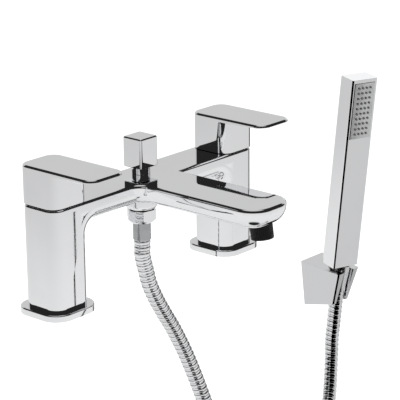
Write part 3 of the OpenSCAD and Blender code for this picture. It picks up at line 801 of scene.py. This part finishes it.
    def _profile(self, total: float) -> list[tuple[float, float, float]]:
        """Draw the half section of a straight ribbed tube.

        Args:
            total: The tube's length in metres.

        Returns:
            Points from one end's centre to the other's, in metres.
        """
        ribs = round(total / (self.pitch * MM))
        step = total / ribs
        crest = self.diameter / 2 * MM
        bottom = crest - self.groove * MM
        band = crest - self.band_drop * MM
        band_end = self.band / 2
        slit_middle = band_end + self.slit / 2
        points = [(0.0, 0.0, 0.0), (band, 0.0, 0.0)]
        for i in range(ribs):
            points.append((band, 0.0, (i + band_end) * step))
            points.append((bottom, 0.0, (i + slit_middle) * step))
            for k in range(self.crown + 1):
                lean = 2.0 * k / self.crown - 1.0
                share = 0.5 + lean * (0.5 - band_end - self.slit)
                points.append((crest - self.swell * MM * lean**2, 0.0, (i + share) * step))
            points.append((bottom, 0.0, (i + 1 - slit_middle) * step))
            points.append((band, 0.0, (i + 1 - band_end) * step))
        points.extend(((band, 0.0, total), (0.0, 0.0, total)))
        return points

    @staticmethod
    def _lay(shape: bmesh.types.BMesh, line: list[Vector], marks: list[float]) -> None:
        """Move a straight tube's points onto the route.

        Args:
            shape: The straight tube along Z.
            line: The route's points.
            marks: The length of the route up to each point.
        """
        frames = []
        side = Vector((0.0, 1.0, 0.0))
        last = len(line) - 1
        for i in range(last + 1):
            ahead = (line[min(i + 1, last)] - line[max(i - 1, 0)]).normalized()
            side = (side - ahead * side.dot(ahead)).normalized()
            frames.append((side.copy(), ahead.cross(side)))
        order = sorted(shape.verts, key=lambda vert: vert.co.z)
        i = 0
        for vert in order:
            while i < last - 1 and marks[i + 1] < vert.co.z:
                i += 1
            share = (vert.co.z - marks[i]) / max(marks[i + 1] - marks[i], 1e-9)
            center = line[i].lerp(line[i + 1], share)
            u = frames[i][0].lerp(frames[i + 1][0], share)
            v = frames[i][1].lerp(frames[i + 1][1], share)
            vert.co = center + vert.co.x * u + vert.co.y * v


@dataclass
class PhotoCamera:
    """Camera at the photograph's place, in degrees, metres and pixels of a 400 pixel square."""

    azimuth: float = 46.89
    elevation: float = 19.74
    roll: float = 1.16
    distance: float = 1.4
    focal: float = 1888.23
    image: float = 400.0
    origin: tuple[float, float] = (142.82, 275.26)
    sensor: float = 36.0

    def forward(self) -> Vector:
        """Give the direction from the camera to the mixer's origin.

        Returns:
            The direction, one unit long.
        """
        az, el = math.radians(self.azimuth), math.radians(self.elevation)
        return Vector((math.sin(az) * math.cos(el), math.cos(az) * math.cos(el), -math.sin(el)))

    def build(self) -> bpy.types.Object:
        """Make the camera and set it as the scene's.

        Returns:
            The camera.
        """
        az = math.radians(self.azimuth)
        ahead = self.forward()
        right = Vector((math.cos(az), -math.sin(az), 0.0))
        up = right.cross(ahead)
        half = self.image / 2
        aim = Vector(((self.origin[0] - half) / self.focal, (half - self.origin[1]) / self.focal, 1.0))
        turn = Vector((0.0, 0.0, 1.0)).rotation_difference(aim.normalized()).to_matrix()
        spin = Matrix.Rotation(math.radians(self.roll), 3, "Z")
        axes = spin @ turn @ Matrix((right, up, ahead))
        place = Matrix((axes[0], axes[1], -axes[2])).transposed().to_4x4()
        place.translation = -ahead * self.distance
        data = bpy.data.cameras.new("photo_camera")
        data.sensor_width = self.sensor
        data.lens = self.sensor * self.focal / self.image
        camera = bpy.data.objects.new("photo_camera", data)
        camera.matrix_world = place
        bpy.context.scene.collection.objects.link(camera)
        bpy.context.scene.camera = camera
        return camera


@dataclass(frozen=True)
class Card:
    """A flat studio card that only the plating mirrors, in millimetres."""

    name: str
    middle: tuple[float, float, float]
    toward: tuple[float, float, float]
    width: float
    height: float
    glow: float
    up: tuple[float, float, float] = (0.0, 0.0, 1.0)

    def build(self) -> bpy.types.Object:
        """Stand the card up, turned toward what mirrors it.

        Returns:
            The card.
        """
        shape = bmesh.new()
        bmesh.ops.create_grid(shape, x_segments=1, y_segments=1, size=0.5)
        bmesh.ops.scale(shape, vec=Vector((self.width, self.height, 1.0)) * MM, verts=shape.verts[:])
        facing = (Vector(self.toward) - Vector(self.middle)).normalized()
        upright = (Vector(self.up) - facing * facing.dot(Vector(self.up))).normalized()
        place = Matrix((upright.cross(facing), upright, facing)).transposed().to_4x4()
        place.translation = Vector(self.middle) * MM
        bmesh.ops.transform(shape, matrix=place, verts=shape.verts[:])
        card = place_piece(shape, self.name)
        material = bpy.data.materials.new(self.name)
        material.use_nodes = True
        shader = material.node_tree.nodes["Principled BSDF"]
        shader.inputs["Base Color"].default_value = grey(0.0)
        shader.inputs["Specular IOR Level"].default_value = 0.0
        shader.inputs["Emission Color"].default_value = WHITE
        shader.inputs["Emission Strength"].default_value = self.glow
        card.data.materials.append(material)
        card.visible_camera = False
        card.visible_diffuse = False
        card.visible_shadow = False
        return card


EDGE_CARD_UP = (-0.0618, 0.0528, 0.9945)
CARDS = (
    Card("edge_card", (257.5, -12.7, -72.0), (290.0, 25.3, -72.0), 93.0, 324.0, 0.0, EDGE_CARD_UP),
    Card("front_card", (352.0, -58.0, -80.0), (300.0, 30.0, -80.0), 140.0, 310.0, 0.63),
    Card("crown_card", (391.0, 99.0, 167.0), (288.0, 15.0, 97.0), 70.0, 70.0, 1.0),
    Card("prong_card", (355.0, -6.0, -151.0), (280.0, 24.0, -92.0), 24.0, 52.0, 0.44),
    Card("bracket_card", (179.0, 136.0, -165.0), (266.0, 40.0, -90.0), 80.0, 80.0, 0.65),
    Card("seam_card", (295.6, -409.0, -165.0), (-90.7, -17.5, -165.0), 2.4, 140.0, 0.0),
)


@dataclass
class Studio:
    """Floor that stays white in view, and a room that the plating mirrors: a bright backdrop between dark
    sides. The floor's colour carries painted shade, darker further out and on the left, and a painted dark
    reflection spot.

    Lengths are in metres. A pair of numbers is where a soft step starts and where it ends.
    """

    floor_z: float = -0.237
    floor_size: float = 14.0
    # Floor colour near the mixer and far off on the left and right: painted shade, darker further out and on
    # the left, for the plating to mirror.
    floor_near: float = 0.84
    floor_left: float = 0.63
    floor_right: float = 0.7
    floor_glow: float = 0.5
    floor_fade: tuple[float, float] = (0.5, 1.3)
    floor_turn: tuple[float, float] = (-1.0, 1.0)
    # A dark spot on the floor that only mirroring surfaces within reach see: a painted dark reflection.
    dark_reflection_middle: tuple[float, float] = (-0.02, -0.18)
    dark_reflection_edge: tuple[float, float] = (0.125, 0.095)
    dark_reflection_reach: tuple[float, float] = (0.335, 0.315)
    mirror_glow: float = 0.0
    backdrop: float = 0.625
    backdrop_side: tuple[float, float] = (0.5, 0.7)
    backdrop_top: tuple[float, float] = (0.6, 0.5)
    ridge_side: tuple[float, float] = (0.93, 0.97)
    ridge_foot: tuple[float, float] = (0.0, 0.1)
    overhead: float = 0.6
    overhead_edge: tuple[float, float] = (0.86, 0.93)
    dark: float = 0.02
    lamp_place: tuple[float, float, float] = (-0.5, -0.5, 1.8)
    lamp_size: float = 1.6
    lamp_power: float = 2.0

    def build(self, ahead: Vector) -> None:
        """Make the floor, the room and the lamp.

        Args:
            ahead: The camera's direction.
        """
        level = Vector((ahead.x, ahead.y, 0.0)).normalized()
        self._floor(level)
        self._room(level)
        self._lamp()
        for card in CARDS:
            card.build()
        bpy.context.scene.view_settings.view_transform = "Standard"

    def _floor(self, ahead: Vector) -> None:
        """Lay a floor that keeps soft shadows and stays white in view. Its colour carries painted shade,
        darker further out and on the left, and a painted dark reflection spot that only nearby mirroring
        surfaces see.

        Args:
            ahead: The camera's level direction.
        """
        shape = bmesh.new()
        bmesh.ops.create_grid(shape, x_segments=8, y_segments=8, size=self.floor_size / 2)
        bmesh.ops.translate(shape, verts=shape.verts[:], vec=(0.0, 0.0, self.floor_z))
        floor = place_piece(shape, "studio_floor")
        material = bpy.data.materials.new("studio_paper")
        material.use_nodes = True
        bench = NodeBench(material.node_tree)
        shader = material.node_tree.nodes["Principled BSDF"]
        place = bench.add("ShaderNodeTexCoord")
        reach = bench.add("ShaderNodeVectorMath", operation="LENGTH")
        bench.join(place.outputs["Object"], reach.inputs[0])
        # Painted shade: the floor's colour dims with distance from the mixer and towards the left.
        shade = bench.add("ShaderNodeMix", data_type="RGBA")
        bench.join(bench.ramp(reach.outputs["Value"], *self.floor_fade), shade.inputs["Factor"])
        shade.inputs["A"].default_value = grey(self.floor_near)
        across = bench.add("ShaderNodeVectorMath", operation="DOT_PRODUCT")
        bench.join(place.outputs["Object"], across.inputs[0])
        across.inputs[1].default_value = (ahead.y, -ahead.x, 0.0)
        side = bench.add("ShaderNodeMix", data_type="RGBA")
        bench.join(bench.ramp(across.outputs["Value"], *self.floor_turn), side.inputs["Factor"])
        side.inputs["A"].default_value = grey(self.floor_left)
        side.inputs["B"].default_value = grey(self.floor_right)
        bench.join(side.outputs["Result"], shade.inputs["B"])
        # Painted dark reflection: mirrored rays that meet the floor near the spot, from close by, see it
        # dark.
        rays = bench.add("ShaderNodeLightPath")
        apart = bench.add("ShaderNodeVectorMath", operation="DISTANCE")
        bench.join(place.outputs["Object"], apart.inputs[0])
        apart.inputs[1].default_value = (*self.dark_reflection_middle, self.floor_z)
        patch = bench.ramp(apart.outputs["Value"], *self.dark_reflection_edge)
        tone = bench.add("ShaderNodeMix", data_type="RGBA")
        near = bench.ramp(rays.outputs["Ray Length"], *self.dark_reflection_reach)
        near = bench.math("MULTIPLY", near, rays.outputs["Is Glossy Ray"])
        bench.join(bench.math("MULTIPLY", patch, near), tone.inputs["Factor"])
        bench.join(shade.outputs["Result"], tone.inputs["A"])
        tone.inputs["B"].default_value = grey(self.dark)
        bench.join(tone.outputs["Result"], shader.inputs["Base Color"])
        shader.inputs["Roughness"].default_value = 1.0
        shader.inputs["Specular IOR Level"].default_value = 0.0
        seen = bench.math("MULTIPLY", rays.outputs["Is Camera Ray"], self.floor_glow)
        mirrored = bench.math("ADD", rays.outputs["Is Glossy Ray"], rays.outputs["Is Transmission Ray"])
        mirrored = bench.math("MULTIPLY", mirrored, self.mirror_glow)
        shader.inputs["Emission Color"].default_value = WHITE
        bench.join(bench.math("ADD", seen, mirrored), shader.inputs["Emission Strength"])
        floor.data.materials.append(material)

    def _room(self, ahead: Vector) -> None:
        """Write the room round the mixer.

        Args:
            ahead: The camera's level direction.
        """
        world = bpy.data.worlds.new("studio_room")
        bpy.context.scene.world = world
        world.use_nodes = True
        world.cycles.sampling_method = "NONE"
        bench = NodeBench(world.node_tree)
        place = bench.add("ShaderNodeTexCoord")
        split = bench.add("ShaderNodeSeparateXYZ")
        bench.join(place.outputs["Generated"], split.inputs["Vector"])
        across = bench.math("MULTIPLY", split.outputs["X"], ahead.x)
        toward = bench.math("MULTIPLY_ADD", split.outputs["Y"], ahead.y)
        bench.join(across, toward.node.inputs[2])
        level = bench.math("SQRT", bench.math("SUBTRACT", 1.0, bench.math("POWER", split.outputs["Z"], 2.0)))
        facing = bench.math("DIVIDE", toward, bench.math("MAXIMUM", level, 0.001))
        low = bench.ramp(split.outputs["Z"], *self.backdrop_top)
        back = bench.math("MULTIPLY", bench.ramp(facing, *self.backdrop_side), low)
        foot = bench.ramp(split.outputs["Z"], *self.ridge_foot)
        ridge = bench.math("MULTIPLY", bench.ramp(facing, *self.ridge_side), foot)
        top = bench.ramp(split.outputs["Z"], *self.overhead_edge)
        ahead_glow = bench.math("MULTIPLY", bench.math("MAXIMUM", back, ridge), self.backdrop)
        glow = bench.math("MAXIMUM", ahead_glow, bench.math("MULTIPLY", top, self.overhead))
        glow = bench.math("MAXIMUM", glow, self.dark)
        rays = bench.add("ShaderNodeLightPath")
        pick = bench.add("ShaderNodeMix", data_type="FLOAT")
        bench.join(rays.outputs["Is Glossy Ray"], pick.inputs["Factor"])
        pick.inputs["A"].default_value = 1.0
        bench.join(glow, pick.inputs["B"])
        bench.join(pick.outputs["Result"], world.node_tree.nodes["Background"].inputs["Strength"])
        world.node_tree.nodes["Background"].inputs["Color"].default_value = WHITE

    def _lamp(self) -> None:
        """Hang one broad soft lamp over the mixer."""
        data = bpy.data.lights.new("soft_lamp", "AREA")
        data.size = self.lamp_size
        data.energy = self.lamp_power
        lamp = bpy.data.objects.new("soft_lamp", data)
        lamp.location = self.lamp_place
        lamp.rotation_euler = (-Vector(self.lamp_place)).to_track_quat("-Z", "Y").to_euler()
        lamp.visible_glossy = False
        bpy.context.scene.collection.objects.link(lamp)


class Dressing:
    """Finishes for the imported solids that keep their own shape."""

    FINISHES = {
        SATIN: ("wall_plate", "handset_spigot", "hot_grub_screw", "cold_grub_screw", "bracket_grub_screw"),
        BRASS: ("hot_cartridge", "cold_cartridge", "hot_spindle", "cold_spindle", "diverter_spindle",
                "outlet_nipple", "hose_swivel"),
        CERAMIC: ("hot_fixed_disc", "cold_fixed_disc", "hot_moving_disc", "cold_moving_disc"),
        RUBBER: ("hot_flange_seal", "cold_flange_seal", "hot_seat_seal", "cold_seat_seal", "diverter_seal",
                 "diverter_washer", "aerator_seal", "hose_washer", "cone_washer"),
        NOZZLE: ("spray_nozzles",),
        PLASTIC: ("aerator_insert",),
    }
    UNMIRRORED = ("aerator_insert", "aerator_seal")

    def build(self, paint: Paintbox) -> None:
        """Paint each solid with its finish.

        Args:
            paint: The finishes.
        """
        for finish, nodes in self.FINISHES.items():
            for node in nodes:
                paint.paint(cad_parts[node], finish)
                LOG.info("dressed %s", node)
        for node in self.UNMIRRORED:
            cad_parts[node].visible_glossy = False


# Levels and places that tell edges apart, in millimetres
NEAR = 0.05
PILLAR_X = 90.0
BODY_TOP = 80.0
BODY_BORES = ((-PILLAR_X, 0.0, 11.0), (PILLAR_X, 0.0, 11.0), (0.0, 1.5, 7.5))
FLANGE_TOP = 5.0
FLANGE_BORE_R = 15.0
LEVER_TOP = 108.4
LEVER_LOW = 100.0
HANDLE_LOW = 80.5
SOCKET_R = 14.2
KNOB_HIGH = 107.9
BRACKET_X = 280.0
BRACKET_TOP = -72.94
BRACKET_HALF_W = 15.0
BRACKET_TAPER = 0.128
PRONG_FRONT = 28.2
PRONG_BAND = 0.15


def body_top_edge(point: Vector) -> bool:
    """Tell whether a point is on the outline of the body's flat top.

    Args:
        point: A point in millimetres.

    Returns:
        True on the outline, and False at the bores.
    """
    if abs(point.z - BODY_TOP) > NEAR:
        return False
    return all(math.hypot(point.x - x, point.y - y) > r for x, y, r in BODY_BORES)


def flange_top_edge(point: Vector) -> bool:
    """Tell whether a point is on the upper outline of a base flange.

    Args:
        point: A point in millimetres.

    Returns:
        True if it is.
    """
    return abs(point.z - FLANGE_TOP) < NEAR and math.hypot(abs(point.x) - PILLAR_X, point.y) > FLANGE_BORE_R


def lever_top_edge(point: Vector) -> bool:
    """Tell whether a point is on the upper outline of a lever.

    Args:
        point: A point in millimetres.

    Returns:
        True if it is.
    """
    return point.z > LEVER_TOP - NEAR


def handle_foot_edge(point: Vector) -> bool:
    """Tell whether a point is on the lower outline of a handle, not on its socket.

    Args:
        point: A point in millimetres.

    Returns:
        True if it is.
    """
    return point.z < HANDLE_LOW and math.hypot(abs(point.x) - PILLAR_X, point.y) > SOCKET_R


def lever_rim(point: Vector) -> bool:
    """Tell whether a point is on the lower outline of a lever's overhang.

    Args:
        point: A point in millimetres.

    Returns:
        True if it is.
    """
    return point.z > LEVER_LOW


def prong_edge(point: Vector) -> bool:
    """Tell whether a point is on an outer front edge of the bracket's prongs.

    Args:
        point: A point in millimetres.

    Returns:
        True if it is.
    """
    half_w = BRACKET_HALF_W - BRACKET_TAPER * (BRACKET_TOP - point.z)
    return point.y < PRONG_FRONT and abs(point.x - BRACKET_X) > half_w - PRONG_BAND


def knob_top_edge(point: Vector) -> bool:
    """Tell whether a point is on the upper outline of the knob.

    Args:
        point: A point in millimetres.

    Returns:
        True if it is.
    """
    return point.z > KNOB_HIGH


HANDLE_ROUNDINGS = (
    Rounding(1.8, lever_top_edge), Rounding(0.12, handle_foot_edge, 2), Rounding(0.25, lever_rim, 2)
)

SHELLS = (
    PlatedShell("mixer_body", Part.MIXER, (Rounding(2.2, body_top_edge),), halved_at=1.5),
    PlatedShell("hot_flange", Part.MIXER, (Rounding(1.0, flange_top_edge),), halved_at=0.0),
    PlatedShell("cold_flange", Part.MIXER, (Rounding(1.0, flange_top_edge),), halved_at=0.0),
    # The handles' undersides get painted shade where they stand over the pillar tops.
    PlatedShell("hot_handle", Part.HOT_LEVER, HANDLE_ROUNDINGS, foot=FOOT_SHADE),
    PlatedShell("cold_handle", Part.COLD_LEVER, HANDLE_ROUNDINGS, foot=FOOT_SHADE),
    PlatedShell("diverter_bush", Part.MIXER, (Rounding(0.2),)),
    PlatedShell("diverter_knob", Part.DIVERTER, (Rounding(1.2, knob_top_edge), Rounding(0.4))),
    PlatedShell("hose_nut", Part.MIXER, (Rounding(0.5),)),
    PlatedShell("hose_collar", Part.MIXER, (Rounding(0.2),), SATIN),
    PlatedShell("cone_nut", Part.HANDSET, (Rounding(0.2),), BRUSHED),
    PlatedShell("handset_body", Part.HANDSET, (Rounding(0.6),)),
    PlatedShell("spray_plate", Part.HANDSET, (Rounding(0.1),), SPRAY_PLATE),
    PlatedShell("wall_bracket", Part.MIXER, (Rounding(1.2, prong_edge, 1), Rounding(0.4))),
)


def main() -> None:
    """Build the scene in order."""
    logging.basicConfig(level=logging.INFO)
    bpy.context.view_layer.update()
    camera = PhotoCamera()
    camera.build()
    paint = Paintbox()
    ShowerHose().build(paint)
    FlutedSleeve().build(paint)
    Studio().build(camera.forward())
    Dressing().build(paint)
    for shell in SHELLS:
        shell.build(paint)
        LOG.info("plated %s", shell.node)


if __name__ == "__main__":
    main()
